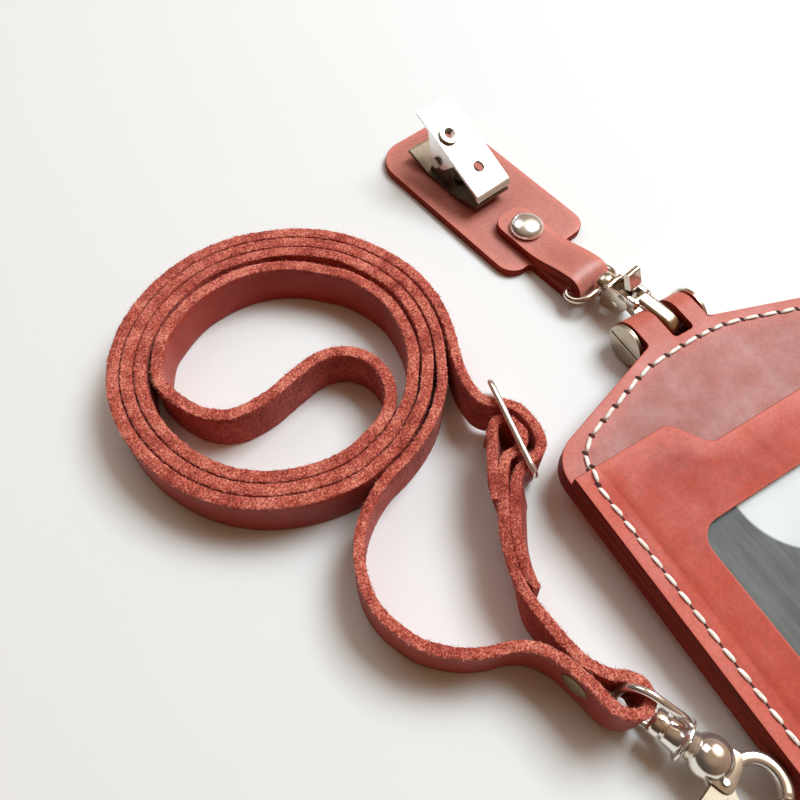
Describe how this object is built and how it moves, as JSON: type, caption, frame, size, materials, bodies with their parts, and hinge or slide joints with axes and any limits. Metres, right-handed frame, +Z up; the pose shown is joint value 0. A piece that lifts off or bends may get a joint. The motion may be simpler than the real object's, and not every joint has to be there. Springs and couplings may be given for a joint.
{
  "type": "leather card holder",
  "caption": "Upright leather holder with a clear window for a card, a metal clip tab with a sprung badge clip on its top post, and a long flat leather strap with a swivel hook.",
  "frame": {"origin": "middle of the holder and clip on the table, at the lowest point", "axes": "+X across the holder to its right, +Y along the holder towards the clip tab, +Z up off the table"},
  "size_m": [0.1337, 0.1996, 0.0164],
  "materials": {
    "smooth_leather": "smooth, lightly polished",
    "strap_leather": "smooth faces with raw edges",
    "nickel": "polished nickel plate",
    "steel": "satin",
    "clear_film": "clear gloss",
    "card": "matt print",
    "thread": "waxed thread"
  },
  "bodies": {
    "holder": {"rear_panel": "smooth_leather", "back_panel": "smooth_leather", "front_panel": "smooth_leather", "window_film": "clear_film", "stitching": "thread", "post_barrel": "nickel", "post_screw": "steel", "lanyard_coil": "strap_leather", "lanyard_ring_end": "strap_leather", "lanyard_hook_end": "strap_leather", "strap_rivet": "nickel", "adjuster_ring": "nickel", "lanyard_eye": "nickel"},
    "card": {"insert_card": "card"},
    "hook": {"hook_body": "nickel", "hook_pin": "steel", "hook_spring": "steel"},
    "lever": {"hook_lever": "nickel"},
    "eye": {"hook_eye": "nickel"},
    "tab": {"clip_tab": "smooth_leather", "cap_rivet": "nickel", "badge_lower_arm": "nickel", "badge_pin": "steel", "badge_spring": "steel", "badge_rivet": "nickel"},
    "badge_arm": {"badge_upper_arm": "nickel", "badge_eyelet": "steel"},
    "swivel_hook": {"lobster_body": "nickel", "lobster_pin": "steel"},
    "gate": {"lobster_gate": "nickel"}
  },
  "joints": [
    {"name": "card_slide", "type": "slide", "parent": "holder", "child": "card", "axis": [0, 0.9992, 0.0407], "range_m": [0, 0.015]},
    {"name": "hook_swing", "type": "hinge", "parent": "holder", "child": "hook", "pos_m": [0.0011, 0.02574, 0.0045], "axis": [1, 0, 0], "range_deg": [0, 90]},
    {"name": "lever_open", "type": "hinge", "parent": "hook", "child": "lever", "pos_m": [-0.00069, 0.03496, 0.0046], "axis": [0.9816, 0.1908, 0], "range_deg": [0, 12], "stiffness_Nm_per_rad": 0.02},
    {"name": "eye_swivel", "type": "hinge", "parent": "hook", "child": "eye", "pos_m": [-0.00119, 0.03751, 0.0046], "axis": [-0.1908, 0.9816, 0], "continuous": true},
    {"name": "tab_hinge", "type": "hinge", "parent": "eye", "child": "tab", "pos_m": [-0.00357, 0.04347, 0.0033], "axis": [0.989, 0.1478, 0], "range_deg": [0, 75]},
    {"name": "badge_arm_pinch", "type": "hinge", "parent": "tab", "child": "badge_arm", "pos_m": [-0.00929, 0.08381, 0.008], "axis": [0.989, 0.1478, 0], "range_deg": [-12, 0], "stiffness_Nm_per_rad": 0.05},
    {"name": "swivel_turn", "type": "hinge", "parent": "holder", "child": "swivel_hook", "pos_m": [-0.0446, -0.03753, 0.0056], "axis": [0.4003, -0.9164, 0], "continuous": true},
    {"name": "gate_open", "type": "hinge", "parent": "swivel_hook", "child": "gate", "pos_m": [-0.04546, -0.04107, 0.0056], "axis": [0, 0, 1], "range_deg": [-20, 0], "stiffness_Nm_per_rad": 0.01}
  ]
}
